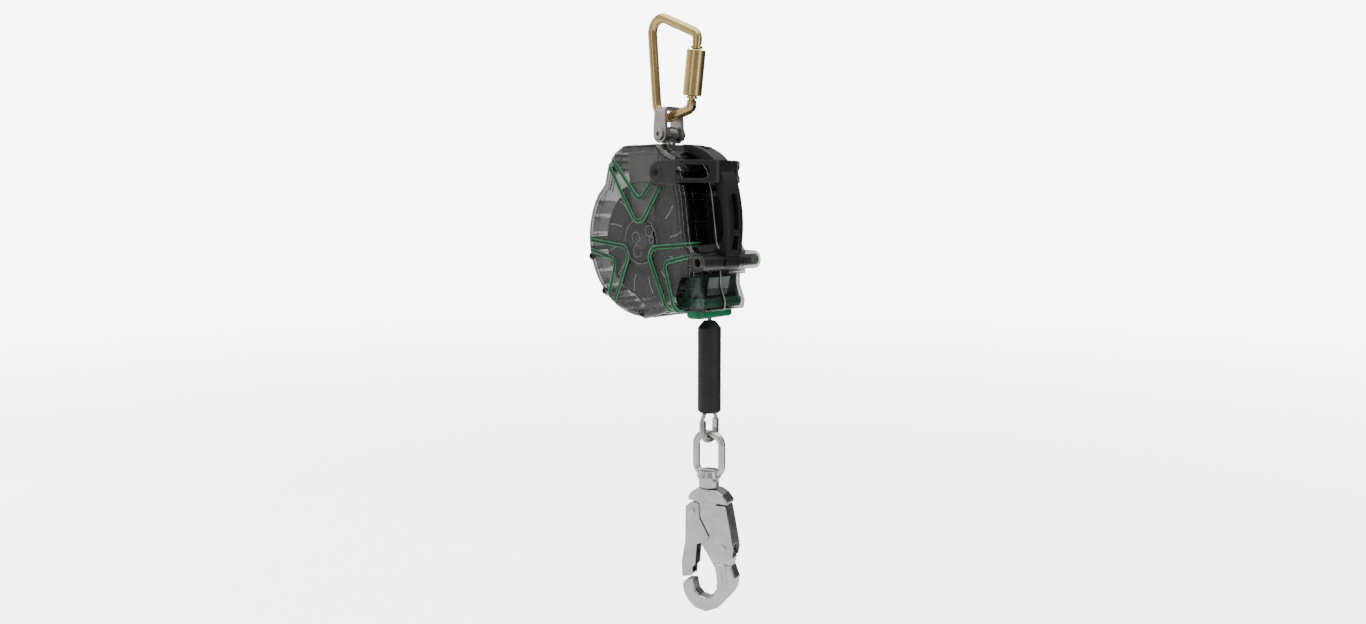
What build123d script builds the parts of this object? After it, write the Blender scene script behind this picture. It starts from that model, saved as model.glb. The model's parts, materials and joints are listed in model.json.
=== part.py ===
"""Self retracting lifeline: hanging block with carabiner, cable drum, brake and snap hook.

Millimetres, +Z up. Dimensions below are measured from the drum centre, on the swivel axis.
Every piece is moved down at export so that the origin is the carabiner's load point.
"""
import os
from math import atan2, cos, degrees, hypot, pi, radians, sin

from build123d import *

RUN = 0.05            # radial clearance of a running fit

# carabiner
BAR_R = 5.35          # bar radius
TOP_LEFT = (-27.6, 256.0)
NOSE_CORNER = (44.7, 224.9)
BEND_R = 19.4         # bend that carries the shackle
BEND_Z = 156.9        # height of that bend's centre, on the swivel axis
BASE_SLOPE = 14.5     # rise of the bottom bar, degrees
GATE_TOP = (42.6, 209.0)
GATE_PIN = (34.6, 148.0)
SLEEVE_R = 10.5
SLEEVE_LEN = 49.0
ANCHOR_Z = 238.3      # underside of the top bar on the swivel axis

# shackle and swivel
BOLT_Z = 118.5
BOLT_R = 4.0
STRAP_HALF = 15.0     # half width over the legs
STRAP_T = 4.0
CROWN_Z = 149.0
SHANK_R = 5.0

# housing shells
SHELL_C = (-2.0, 2.0)
SHELL_R = 87.0
SHELL_Y = 46.0        # half width over the two faces
WALL = 3.0
TOP_Z = 106.0
GASKET = 0.4          # half thickness of the seam gasket
BLOCK_Y = 33.0        # half width of the outlet block
TUBE = (88.0, -20.0)  # handle anchor tube axis
TUBE_R = 6.5
TUBE_HALF = 46.5
CROSS_PIN = (74.0, -60.0)
SCREW_SPOTS = [(-83, -20), (-61, -59), (-43, 80), (2, -80), (46, 83)]

# handle
EAR = (31.0, 75.2)
EAR_R = 11.5
ARM_X = 63.0          # where the two arms turn in towards the grip
HOOP_X = 89.0
HOOP_Y = 50.5
HOOP_Z = (64.0, 88.0)
GRIP_HALF = 11.0

# frame, shaft and drum, along Y
SHAFT_R = 6.0
NEAR_PLATE = (-41.0, -38.8)
FAR_PLATE = (36.0, 38.2)
FLANGE_R = 62.5
NEAR_FLANGE = (-38.2, -24.5)
FAR_FLANGE = (9.7, 12.7)
POCKET_R = 38.0       # pocket in the near flange that holds the pawls
POCKET_FLOOR = -27.5
CORE_R = 38.6
HUB_R = 12.0
CABLE_R = 2.4
LAYERS = 4
TURNS = 7
CASE_R = 51.5
CASE_Y = (14.5, 36.0)

# brake
TEETH = 12
RATCHET_TIP = 19.0
RATCHET_ROOT = 15.0
PAWL_PIVOT = 29.0
PAWL_TURN = 14.0
PAWL_Y = (-34.5, -30.5)
PAWL_ANGLES = (60.0, 240.0)

# line and snap hook
LINE_X = 63.0
NOZZLE_Z = (-83.0, -74.0)
BUMPER_R = 13.0
BUMPER_Z = (-190.0, -87.0)
LOOP_R = 12.0
LOOP_Z = -211.1
EYE_Z = -215.0        # axis of the eye's top bar
EYE_BAR = 4.2
HOOK_TURN = 15.0      # the hook hangs turned by this much about the line
GATE_PIVOT = (-18.2, -305.5)
LEVER_PIVOT = (21.4, -342.0)


def rod_y(r, y0, y1, at=(0.0, 0.0)):
    """Cylinder along Y through (x, z)."""
    return Pos(at[0], (y0 + y1) / 2, at[1]) * Rot(90, 0, 0) * Cylinder(r, y1 - y0)


def rod_z(r, z0, z1, x=0.0, y=0.0):
    return Pos(x, y, (z0 + z1) / 2) * Cylinder(r, z1 - z0)


def ring_y(r_out, r_in, y0, y1, at=(0.0, 0.0)):
    return rod_y(r_out, y0, y1, at) - rod_y(r_in, y0 - 1, y1 + 1, at)


def slab(sketch, y0, y1):
    """A sketch drawn in X and Z, thickened from y0 to y1."""
    return extrude(Plane.XZ.offset(-y1) * sketch, amount=y1 - y0, dir=(0, -1, 0))


def box(x0, x1, y0, y1, z0, z1):
    return Pos((x0 + x1) / 2, (y0 + y1) / 2, (z0 + z1) / 2) * Box(x1 - x0, y1 - y0, z1 - z0)


def outline(points, radius=0.0):
    """Filled outline that faces up, whichever way its points run."""
    if radius:
        face = make_face(FilletPolyline(*points, radius=radius, close=True)).face()
    else:
        face = Polygon(*points, align=None).face()
    return Sketch() + (face if face.normal_at().Z > 0 else -face)


def stroke(points, width):
    """Round-ended band that follows a broken line."""
    band = Sketch()
    for (x0, z0), (x1, z1) in zip(points, points[1:]):
        length = hypot(x1 - x0, z1 - z0)
        turn = degrees(atan2(z1 - z0, x1 - x0))
        band += Pos((x0 + x1) / 2, (z0 + z1) / 2) * Rot(0, 0, turn) * SlotOverall(length + width, width)
    return band


def polar(r, angle):
    return (r * cos(radians(angle)), r * sin(radians(angle)))


def swept_bar(path, r):
    return sweep(Plane(origin=path @ 0, z_dir=path % 0) * Circle(r), path=path)


def in_xz(shape):
    """Stands a shape drawn in X and Y up into X and Z."""
    return Rot(90, 0, 0) * shape


# ---------------------------------------------------------------- carabiner

def gate_axis():
    dx = GATE_TOP[0] - GATE_PIN[0]
    dz = GATE_TOP[1] - GATE_PIN[1]
    return dx / hypot(dx, dz), dz / hypot(dx, dz)


def on_gate(distance):
    ux, uz = gate_axis()
    return (GATE_PIN[0] + ux * distance, GATE_PIN[1] + uz * distance)


def gate_rod(r, d0, d1):
    """Cylinder along the gate, between two distances from its pin."""
    (x0, z0), (x1, z1) = on_gate(d0), on_gate(d1)
    lean = degrees(atan2(x1 - x0, z1 - z0))
    return Pos((x0 + x1) / 2, 0, (z0 + z1) / 2) * Rot(0, lean, 0) * Cylinder(r, d1 - d0)


def carabiner_body():
    slope = radians(BASE_SLOPE)
    spine = atan2(TOP_LEFT[1] - BEND_Z, TOP_LEFT[0] + BEND_R)
    base = (BEND_R * sin(slope), BEND_Z - BEND_R * cos(slope))
    left = (-BEND_R * sin(spine), BEND_Z + BEND_R * cos(spine))
    det = cos(slope) * sin(spine) - sin(slope) * cos(spine)
    t = ((left[0] - base[0]) * sin(spine) - (left[1] - base[1]) * cos(spine)) / det
    corner = (base[0] + t * cos(slope), base[1] + t * sin(slope))
    reach = (GATE_PIN[0] - base[0]) / cos(slope)
    heel = (GATE_PIN[0] + 0.2, base[1] + reach * sin(slope) - 0.6)
    points = [on_gate(61.6), NOSE_CORNER, TOP_LEFT, corner, heel, on_gate(6.5)]
    path = FilletPolyline(*points, radius=[9, 15, BEND_R, 6.5])
    bar = in_xz(swept_bar(path, BAR_R))
    bar += gate_rod(BAR_R + 1.1, 61.6, 64.3)
    bar -= gate_rod(BAR_R + 1, 64.5, 66.0) - gate_rod(BAR_R - 0.8, 60, 70)
    bar -= box(26, 46, -2.3, 2.3, GATE_PIN[1] - 5.4, GATE_PIN[1] + 12)
    bar -= rod_y(2.0, -8, 8, GATE_PIN)
    cap = slab(Pos(*GATE_PIN) * Circle(20) - Pos(*GATE_PIN) * Circle(6.6), -8, 8)
    return bar - (cap & box(20, 50, -8, 8, GATE_PIN[1] + 1.0, GATE_PIN[1] + 18))


def carabiner_gate():
    gate = gate_rod(BAR_R, 8.0, 61.4)
    gate = chamfer(gate.edges().filter_by(GeomType.CIRCLE).group_by(Axis.Z)[-1], 1.0)
    gate += gate_rod(BAR_R + 0.9, 8.0, 10.5)
    tongue = slab(Pos(*GATE_PIN) * Circle(4.6), -2.0, 2.0)
    tongue += slab(stroke([GATE_PIN, on_gate(9.0)], 7.0), -2.0, 2.0)
    gate += tongue
    return gate - rod_y(2.0 + RUN, -8, 8, GATE_PIN)


def carabiner_lock_sleeve():
    sleeve = gate_rod(SLEEVE_R, 11.2, 11.2 + SLEEVE_LEN)
    sleeve = chamfer(sleeve.edges().filter_by(GeomType.CIRCLE), 0.8)
    return sleeve - gate_rod(BAR_R + RUN, 5, 70)


# ---------------------------------------------------------------- shackle and swivel

def shackle_strap():
    side = Pos(0, CROWN_Z - 60) * Rectangle(2 * STRAP_HALF, 120)
    side = fillet(side.vertices().group_by(Axis.Y)[-1], 9.0)
    hollow = Pos(0, CROWN_Z - 3.5 - 60) * Rectangle(2 * (STRAP_HALF - STRAP_T), 120)
    hollow = fillet(hollow.vertices().group_by(Axis.Y)[-1], 5.5)
    strap = extrude(Plane.YZ.offset(-12) * (side - hollow), amount=24, dir=(1, 0, 0))
    front = make_hull((Pos(0, BOLT_Z) * Circle(9.75)).edges() + (Pos(0, 149) * Rectangle(15.6, 2)).edges())
    strap &= slab(front, -20, 20)
    crown = slab(Pos(0, BEND_Z) * Circle(BEND_R - BAR_R - 0.35), -11.5, 11.5)
    under = box(-12, 12, -9, 9, CROWN_Z - 5, CROWN_Z - 1.5) - crown
    return strap - under - rod_y(BOLT_R, -20, 20, (0, BOLT_Z))


def shackle_bolt():
    bolt = rod_y(BOLT_R, -STRAP_HALF - 0.5, 21.5, (0, BOLT_Z))
    bolt += fillet(rod_y(6.6, -17.4, -STRAP_HALF, (0, BOLT_Z)).edges().group_by(Axis.Y)[0], 0.9)
    return bolt - slab(Pos(0, BOLT_Z) * RegularPolygon(2.9, 6), -20, -15.0)


def shackle_nut():
    nut = slab(Pos(0, BOLT_Z) * RegularPolygon(7.5, 6), STRAP_HALF, 20.5)
    return nut - rod_y(BOLT_R, 10, 25, (0, BOLT_Z))


def swivel_block():
    front = Pos(0, BOLT_Z) * Circle(8.8) + Pos(0, BOLT_Z - 4.5) * Rectangle(12.5, 9)
    lug = slab(front, -6, 6)
    lug += rod_y(6.6, -10.6, 10.6, (0, BOLT_Z))
    lug += rod_z(7.6, 106.6, 109.8)
    lug += rod_z(SHANK_R, 82.5, 112)
    return lug - rod_y(BOLT_R + RUN, -12, 12, (0, BOLT_Z))


def swivel_nut():
    return extrude(Pos(0, 0, 83.5) * RegularPolygon(9.8, 6), amount=7.5) - rod_z(SHANK_R, 80, 100)


def swivel_washer():
    return rod_z(11, 91.2, 94.2) - rod_z(SHANK_R, 80, 100)


# ---------------------------------------------------------------- housing

def shell_outline():
    notch = (SHELL_C[0] + polar(SHELL_R, 144)[0], SHELL_C[1] + polar(SHELL_R, 144)[1])
    drop = NOZZLE_Z[1] - SHELL_C[1]
    foot = (SHELL_C[0] + (SHELL_R ** 2 - drop ** 2) ** 0.5, NOZZLE_Z[1])
    rim = ThreePointArc(notch, (SHELL_C[0] - SHELL_R, SHELL_C[1]), foot)
    rest = [foot, (85, NOZZLE_Z[1]), (86, -64), (79, -47), (79, -10), (73, -2), (70, 20), (66, 50),
            (59, 76), (47, 92), (34, 99), (27, TOP_Z), (-30, TOP_Z), (-44, 99), (-56, 82), (-61, 64), notch]
    face = make_face([rim] + Polyline(*rest).edges())
    return fillet(face.vertices(), 3.5)


def block_zone(grow=0.0):
    """The corner of the outline where the housing narrows to the outlet block."""
    return outline([(64 - grow, -36 + grow), (120, -36 + grow), (120, -90), (50 - grow, -90), (50 - grow, -72)])


def half_shell(side):
    """One moulded half, drawn for the -Y side and turned over for the other."""
    face = shell_outline()
    inner = offset(face, -WALL)
    body = slab(face, -SHELL_Y, -GASKET)
    body = fillet(body.edges().group_by(Axis.Y)[0], 6.5)
    body -= slab(block_zone(), -SHELL_Y - 5, -BLOCK_Y)
    body += slab(Circle(25), -SHELL_Y - 2, -SHELL_Y + 0.5)
    lug = slab(stroke([(74, TUBE[1]), TUBE], 20), -SHELL_Y, -GRIP_HALF - 0.5)
    hollow = slab(inner, -SHELL_Y + WALL, 1)
    hollow -= slab(block_zone(3.2), -SHELL_Y - 5, -BLOCK_Y + WALL)
    hollow += slab(Circle(22), -SHELL_Y + 1, -SHELL_Y + 5)
    posts = [rod_y(6.5, -SHELL_Y + 5.5, -GASKET, spot) for spot in SCREW_SPOTS]
    body += posts
    body -= hollow
    body += lug - slab(offset(face, -WALL), -SHELL_Y, 1)
    body += [rod_y(4.8, -SHELL_Y + 2, -GASKET, spot) & slab(face, -60, 1) for spot in SCREW_SPOTS]
    body += rod_y(5.5, -SHELL_Y + 2, -30, EAR)
    body += ring_y(9.0, 4.5, -BLOCK_Y, -BLOCK_Y + 8, CROSS_PIN)
    body -= rod_y(4.5, -BLOCK_Y - 1, -BLOCK_Y + 8, CROSS_PIN)
    body -= [rod_y(2.0, -60, 1, spot) + rod_y(4.0, -60, -SHELL_Y + 4, spot) for spot in SCREW_SPOTS]
    body -= rod_y(2.5, -60, -29, EAR)
    body -= rod_y(TUBE_R, -60, 1, TUBE)
    body -= box(77.5, 110, -GRIP_HALF - 0.5, 1, -33, 2)
    body -= rod_z(SHANK_R + 0.8, 95, 115)
    body -= rod_z(6.5, -85, -60, LINE_X)
    if side > 0:
        body = mirror(body, Plane.XZ)
    return body


def shell_gasket():
    face = shell_outline()
    ring = slab(face - offset(face, -WALL), -GASKET, GASKET)
    ring -= rod_z(SHANK_R + 0.8, 95, 115)
    ring -= rod_z(6.5, -85, -60, LINE_X)
    ring -= box(77.5, 110, -5, 5, -33, 2)
    return ring - [rod_y(4.0, -5, 5, spot) for spot in SCREW_SPOTS]


def ear_zone():
    return stroke([EAR, (120, EAR[1])], 2 * EAR_R + 2)


def v_ribs(side):
    """Three V shaped ridges on a face, each of an outer and an inner line."""
    sketch = Sketch()
    for turn in (0, 120, 240):
        outer = stroke([(-41, 72.5), (-5.6, 21.6), (5.6, 21.6), (41, 72.5)], 2.4)
        inner = stroke([(-30, 76.5), (0, 44), (30, 76.5)], 2.4)
        sketch += Rot(0, 0, turn) * (outer + inner)
    flat = offset(shell_outline(), -6.6) - ear_zone() - Circle(26) - block_zone(1.0)
    ribs = slab(sketch & flat, -SHELL_Y - 2, -SHELL_Y)
    if side > 0:
        ribs = mirror(ribs, Plane.XZ)
    return ribs


def shell_screws():
    screws = []
    for spot in SCREW_SPOTS:
        screw = rod_y(2.0, -SHELL_Y + 4, 30, spot) + rod_y(3.7, -SHELL_Y + 0.6, -SHELL_Y + 4, spot)
        screws.append(screw - slab(Pos(*spot) * RegularPolygon(1.8, 6), -SHELL_Y, -SHELL_Y + 2.6))
    return screws


def arm_plan(inset):
    """Plan of the two arms and the bar that joins them, seen from above."""
    end = HOOP_X - inset
    turn = ARM_X - 0.45 * inset
    points = [(-40, inset - HOOP_Y), (turn, inset - HOOP_Y), (end, inset - 15), (end, 15 - inset),
              (turn, HOOP_Y - inset), (-40, HOOP_Y - inset)]
    return outline(points, 8 - inset)


def carry_handle():
    ears = slab(make_hull((Pos(*EAR) * Circle(EAR_R)).edges() + (Pos(48, 76) * Rectangle(1, 24)).edges()), -60, 60)
    arms = extrude(Pos(0, 0, HOOP_Z[0]) * (arm_plan(0) - arm_plan(4.3)), amount=HOOP_Z[1] - HOOP_Z[0], dir=(0, 0, 1))
    arms = (arms & box(46, 100, -60, 60, 40, 120)) + (ears & box(0, 48, -HOOP_Y, -SHELL_Y - 0.2, 40, 120))
    arms += ears & box(0, 48, SHELL_Y + 0.2, HOOP_Y, 40, 120)
    slot = Pos(73.0, -37.0, 76) * Rot(0, 0, 54) * Rot(90, 0, 0) * extrude(SlotOverall(36, 14.5), amount=7, both=True)
    arms -= slot + mirror(slot, Plane.XZ)
    outer = Spline((34, 106.5), (50, 104), (69, 96.5), (86.5, 80), (97, 54), (101.5, 26), (101, 3), (98, -14))
    inner = Spline((80, -14), (91, 3), (91.5, 25), (86.5, 47), (76, 69), (63, 84.5), (48, 95), (35, 99.3))
    band = slab(make_face([outer, Line(outer @ 1, inner @ 0), inner, Line(inner @ 1, outer @ 0)]),
                -GRIP_HALF, GRIP_HALF)
    band += rod_y(10, -GRIP_HALF, GRIP_HALF, TUBE)
    handle = arms + band
    handle -= box(80, 120, -4.5, 4.5, 14, 52)
    handle -= box(46, 62, -4.5, 4.5, 84, 120)
    handle -= box(82, 120, -4.5, 4.5, -8, 8)
    bores = rod_y(TUBE_R, -20, 20, TUBE) + rod_y(2.5, -60, 60, EAR)
    bores += [rod_y(4.6, -60, -HOOP_Y + 2.2, EAR), rod_y(4.6, HOOP_Y - 2.2, 60, EAR)]
    return handle - bores


def handle_screws():
    screws = []
    for side in (-1, 1):
        screw = rod_y(2.5, -HOOP_Y + 2, -32, EAR) + rod_y(4.4, -HOOP_Y + 0.4, -HOOP_Y + 2.2, EAR)
        screw -= slab(Pos(*EAR) * RegularPolygon(2.2, 6), -HOOP_Y, -HOOP_Y + 1.6)
        screws.append(screw if side < 0 else mirror(screw, Plane.XZ))
    return screws


def handle_anchor_tube():
    return ring_y(TUBE_R, TUBE_R - 2, -TUBE_HALF, TUBE_HALF, TUBE)


def cable_nozzle():
    plate = extrude(Pos(LINE_X, 0, NOZZLE_Z[0]) * Rot(0, 0, 90) * SlotOverall(62, 24), amount=NOZZLE_Z[1] - NOZZLE_Z[0])
    plate = fillet(plate.edges().group_by(Axis.Z)[0], 3.5)
    plate += rod_z(6.5, NOZZLE_Z[1] - 1, -66, LINE_X)
    return plate - rod_z(3.5, -90, -60, LINE_X)


def outlet_cross_pin():
    return rod_y(4.5, -BLOCK_Y + 3, BLOCK_Y - 3, CROSS_PIN)


# ---------------------------------------------------------------- frame and shaft

def frame_bracket():
    plate = make_hull(Circle(13).edges() + (Pos(0, 90) * Rectangle(46, 17)).edges())
    frame = slab(plate, *NEAR_PLATE) + slab(plate, *FAR_PLATE)
    frame += box(-23, 23, NEAR_PLATE[0], FAR_PLATE[1], 94.5, 98.5)
    frame -= rod_y(SHAFT_R, -50, 50)
    frame -= rod_z(SHANK_R + RUN, 90, 110)
    frame -= rod_y(2.5, -50, 50, (0, 53))
    return frame - [rod_y(3.0, -50, 50, (x, 74)) for x in (-15, 15)]


def frame_spacers():
    spacers = []
    for x in (-15, 15):
        spacer = rod_y(4.5, NEAR_PLATE[1], FAR_PLATE[0], (x, 74))
        spacers.append(spacer + rod_y(3.0, NEAR_PLATE[0] - 0.8, FAR_PLATE[1] + 0.8, (x, 74)))
    return spacers


def drum_shaft():
    shaft = rod_y(SHAFT_R, -44.4, 42.6)
    return chamfer(shaft.edges().filter_by(GeomType.CIRCLE), 0.8)


def shaft_nuts():
    near = slab(RegularPolygon(10.4, 6), -44.2, NEAR_PLATE[0])
    far = slab(RegularPolygon(10.4, 6), FAR_PLATE[1], 42.4)
    return [near - rod_y(SHAFT_R, -50, 50), far - rod_y(SHAFT_R, -50, 50)]


def spring_case():
    case = rod_y(CASE_R, *CASE_Y) - rod_y(CASE_R - 1.5, CASE_Y[0] - 1, CASE_Y[1] - 1.5)
    return case - rod_y(SHAFT_R, 10, 50)


def spring_cover():
    return ring_y(CASE_R, HUB_R + 0.4, CASE_Y[0] - 1.2, CASE_Y[0])


# ---------------------------------------------------------------- drum

def drum_core():
    core = ring_y(CORE_R, CORE_R - 4, NEAR_FLANGE[1], FAR_FLANGE[0])
    core += rod_y(CORE_R - 3.5, -9.5, -5.5) + rod_y(HUB_R, POCKET_FLOOR, 31)
    core -= [rod_y(7, -12, -3, polar(23, 60 * i)) for i in range(6)]
    return core - rod_y(7.5, -40, 40)


def drum_near_flange():
    flange = rod_y(FLANGE_R, NEAR_FLANGE[0] + 1.4, NEAR_FLANGE[1])
    flange -= rod_y(POCKET_R, -50, POCKET_FLOOR)
    ribs = Sketch()
    for i in range(12):
        ribs += Rot(0, 0, 30 * i + 8) * stroke([(40, 0), (50, 1.2), (59, 4.5)], 1.6)
    flange += slab(ribs, NEAR_FLANGE[0], NEAR_FLANGE[0] + 1.5)
    flange += ring_y(FLANGE_R, FLANGE_R - 2, NEAR_FLANGE[0], NEAR_FLANGE[0] + 1.5)
    flange += ring_y(POCKET_R + 2, POCKET_R, NEAR_FLANGE[0], NEAR_FLANGE[0] + 1.5)
    flange -= rod_y(HUB_R, -50, 0)
    flange -= [rod_y(3.0, -40, -20, polar(PAWL_PIVOT, a)) for a in PAWL_ANGLES]
    return flange - [rod_y(2.0, -40, -20, polar(30, 30 + 60 * i + 60 * (i // 2))) for i in range(4)]


def drum_far_flange():
    flange = ring_y(FLANGE_R, HUB_R, *FAR_FLANGE)
    return flange - [rod_y(4.5, 0, 20, polar(50, 45 * i)) for i in range(8)]


def drum_bushes():
    near = ring_y(7.5, SHAFT_R + RUN, POCKET_FLOOR, -12)
    far = ring_y(7.5, SHAFT_R + RUN, 16, 31)
    return [near, far]


def drum_screws():
    screws = []
    for i in range(4):
        spot = polar(30, 30 + 60 * i + 60 * (i // 2))
        screws.append(rod_y(2.0, POCKET_FLOOR, NEAR_FLANGE[1], spot) + rod_y(3.4, POCKET_FLOOR - 2, POCKET_FLOOR, spot))
    return screws


def wound_cable():
    """The stored line, one ring for each turn on the drum."""
    turns = []
    pitch = (FAR_FLANGE[0] - NEAR_FLANGE[1]) / TURNS
    for layer in range(LAYERS):
        r = CORE_R + CABLE_R + layer * 2 * CABLE_R
        for i in range(TURNS):
            y = NEAR_FLANGE[1] + (i + 0.5) * pitch
            turns.append(Pos(0, y, 0) * Rot(90, 0, 0) * Torus(r, CABLE_R))
    return turns


def pawl_pins():
    return [rod_y(3.0, -37.0, NEAR_FLANGE[1], polar(PAWL_PIVOT, a)) for a in PAWL_ANGLES]


def mainspring():
    """Flat spiral strip round the drum's arbor."""
    steps = 24
    rounds = 7
    pitch = 4.6
    rows = []
    for extra in (0.0, 1.3):
        row = []
        for i in range(steps * rounds + 1):
            row.append(polar(HUB_R + 0.1 + extra + pitch * i / steps, 360.0 * i / steps))
        rows.append(row)
    first = Spline(*rows[0])
    second = Spline(*reversed(rows[1]))
    face = make_face([first, Line(first @ 1, second @ 0), second, Line(second @ 1, first @ 0)])
    return slab(face, CASE_Y[0] + 1.2, CASE_Y[0] + 16)


# ---------------------------------------------------------------- brake

def brake_hub():
    hub = rod_y(8.0, -37.5, -27.8) + rod_y(14.0, -29.4, -27.8)
    return hub - rod_y(SHAFT_R, -40, -20)


def brake_pads():
    return [ring_y(14.0, 8.0, -30.4, -29.4), ring_y(14.0, 8.0, -35.6, -34.6)]


def ratchet_ring():
    points = []
    for i in range(TEETH):
        a = 360.0 / TEETH * i
        points += [polar(RATCHET_ROOT, a - 5), polar(RATCHET_ROOT, a + 5)]
        points += [polar(RATCHET_TIP, a + 11), polar(RATCHET_TIP, a + 19)]
    return slab(outline(points), *PAWL_Y) - rod_y(8.0 + RUN, -50, 0)


def brake_pressure_plate():
    return ring_y(14.0, 8.0, -37.1, -35.6)


def brake_disc_spring():
    return ring_y(12.0, SHAFT_R + 0.1, NEAR_PLATE[1], -37.6)


def pawl(angle):
    """Drawn with its nose in a tooth gap, then turned back to its rest pose."""
    nose = [polar(16.9, 28.5), polar(16.9, 31.5), polar(20.6, 35), polar(24.5, 33), polar(29, 22),
            polar(24.6, 10), polar(22.6, 20), polar(20.4, 25.5)]
    sketch = outline(nose) + Pos(PAWL_PIVOT, 0) * Circle(4.8)
    sketch += outline([polar(29, 22), (PAWL_PIVOT + 4.2, 2.0), (PAWL_PIVOT - 4.2, -2.0), polar(24.6, 10)])
    sketch = Pos(PAWL_PIVOT, 0) * Rot(0, 0, -PAWL_TURN) * Pos(-PAWL_PIVOT, 0) * sketch
    blade = slab(Rot(0, 0, angle) * sketch, *PAWL_Y)
    return blade - rod_y(3.0 + RUN, -50, 0, polar(PAWL_PIVOT, angle))


# ---------------------------------------------------------------- line

def lifeline_cable():
    """Straight run down to the splice, then round the thimble and back into the splice."""
    low = LOOP_Z - LOOP_R
    points = [(0, 22), (0, -140), (-2.5, -152), (-2.5, -182), (-LOOP_R, -198), (-LOOP_R, low),
              (LOOP_R, low), (LOOP_R, -198), (2.5, -182), (2.5, -154)]
    path = FilletPolyline(*points, radius=[12, 12, 12, 12, 11.8, 11.8, 12, 12])
    return Pos(LINE_X, 0, 0) * Rot(0, 0, 90) * in_xz(swept_bar(path, CABLE_R))


def cable_ferrule():
    ferrule = extrude(Pos(LINE_X, 0, -180) * Rot(0, 0, 90) * SlotOverall(14, 9.2), amount=24)
    return ferrule - lifeline_cable()


def cable_bumper():
    profile = [(0, BUMPER_Z[0]), (BUMPER_R - 2, BUMPER_Z[0]), (BUMPER_R, BUMPER_Z[0] + 2),
               (BUMPER_R, BUMPER_Z[1] - 8), (6.5, BUMPER_Z[1]), (0, BUMPER_Z[1])]
    bumper = revolve(Plane.XZ * outline(profile), Axis.Z)
    bumper -= rod_z(CABLE_R, -200, 0)
    bumper -= extrude(Pos(0, 0, -195) * Rot(0, 0, 90) * SlotOverall(21.6, 9.4), amount=57)
    return Pos(LINE_X, 0, 0) * bumper


def cable_thimble():
    """Grooved saddle that lines the inside of the cable loop."""
    r_in = LOOP_R - CABLE_R - 1.2
    r_out = LOOP_R + 0.6
    ring = Circle(r_out) - Circle(r_in)
    legs = Pos(0, 7) * Rectangle(2 * r_out, 14) - Pos(0, 7) * Rectangle(2 * r_in, 16)
    saddle = (ring & Pos(0, -20) * Rectangle(40, 40)) + (legs & Pos(0, 6) * Rectangle(40, 12.4))
    saddle = extrude(Plane.YZ.offset(-3.3) * Pos(0, LOOP_Z) * saddle, amount=6.6, dir=(1, 0, 0))
    return Pos(LINE_X, 0, 0) * saddle - lifeline_cable()


# ---------------------------------------------------------------- snap hook

def hang(shape):
    """Turns a hook piece drawn on the swivel axis and moves it under the line."""
    return Pos(LINE_X, 0, 0) * Rot(0, 0, HOOK_TURN) * shape


def hook_swivel_eye():
    half = 16.0
    points = [(0, EYE_Z), (half, EYE_Z), (half, -260), (-half, -260), (-half, EYE_Z), (0, EYE_Z)]
    path = FilletPolyline(*points[:-1], radius=[0, 13, 9, 9, 13], close=True)
    eye = in_xz(swept_bar(path, EYE_BAR))
    profile = [(0, -256.5), (11, -256.5), (14, -263), (11.5, -268), (11.5, -275), (5.0, -276),
               (5.0, -288), (8, -288), (8, -291), (0, -291)]
    return hang(eye + revolve(Plane.XZ * outline(profile), Axis.Z))


def hook_body():
    crown = outline([(-10, -276.5), (13, -276.5), (21, -280.5), (27, -287.5), (27, -291.8), (-22, -291.8),
                     (-22, -287.5), (-17, -281)], 1.5)
    crown = chamfer(slab(crown, -9.5, 9.5).edges().filter_by(GeomType.LINE).group_by(Axis.Z)[-1], 0.8)
    neck = outline([(-14, -288), (14, -288), (14, -325), (24, -336), (33, -352), (30, -366), (9.5, -366),
                    (-1.6, -349.3), (-9, -340), (-10, -318), (-18, -311), (-23.3, -305.5), (-19, -299)])
    neck = slab(neck + Pos(*LEVER_PIVOT) * Circle(8), -5.5, 5.5)
    outer = [(9.5, -362), (31.5, -362), (36.7, -375), (34.5, -388), (28.7, -397), (14, -414), (-0.4, -421),
             (-14, -419), (-23, -412.5), (-29, -403), (-30.5, -393), (-26, -387.5), (-17, -385.6),
             (-13.9, -398), (-8, -403.5), (-0.5, -404.6), (8, -400.5), (13, -392), (13.7, -383.5), (12, -372)]
    bowl = slab(outline(outer, 1.5), -7.5, 7.5)
    bowl = chamfer(bowl.edges().group_by(Axis.Y)[0] + bowl.edges().group_by(Axis.Y)[-1], 1.4)
    grooves = stroke([(19.5, -365), (21, -383)], 1.3) + stroke([(25, -365), (26.5, -382)], 1.3)
    bowl -= slab(grooves, -8, -6.9) + slab(grooves, 6.9, 8)
    hook = crown + neck + bowl
    hook -= rod_z(5.0 + RUN, -300, -270) + rod_z(8.4, -291.4, -287.6)
    hook -= rod_y(2.5, -12, 12, GATE_PIVOT) + rod_y(3.0, -12, 12, LEVER_PIVOT)
    return hang(hook)


def channel(sketch, wall, y_out, y_in):
    """Folded sheet: a solid of the given outline hollowed between its two side plates."""
    return slab(sketch, -y_out, y_out) - slab(sketch - wall, -y_in, y_in)


def hook_gate():
    edge = outline([(-26, -300), (-18, -293.6), (-10, -295.5), (-8.7, -312), (3.2, -332), (0.2, -337.5),
                    (-12.5, -343.5), (-14.5, -368), (-18, -372), (-18, -381), (-30.5, -384.5), (-31.3, -366),
                    (-26.9, -343)], 1.2)
    wall = outline([(-40, -290), (-24.9, -290), (-24.6, -343), (-28.7, -366), (-28.0, -382), (-20, -379.8),
                    (-20, -390), (-40, -390)])
    gate = channel(edge, wall, 7.3, 5.8)
    return hang(gate - rod_y(2.5 + RUN, -12, 12, GATE_PIVOT))


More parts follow.
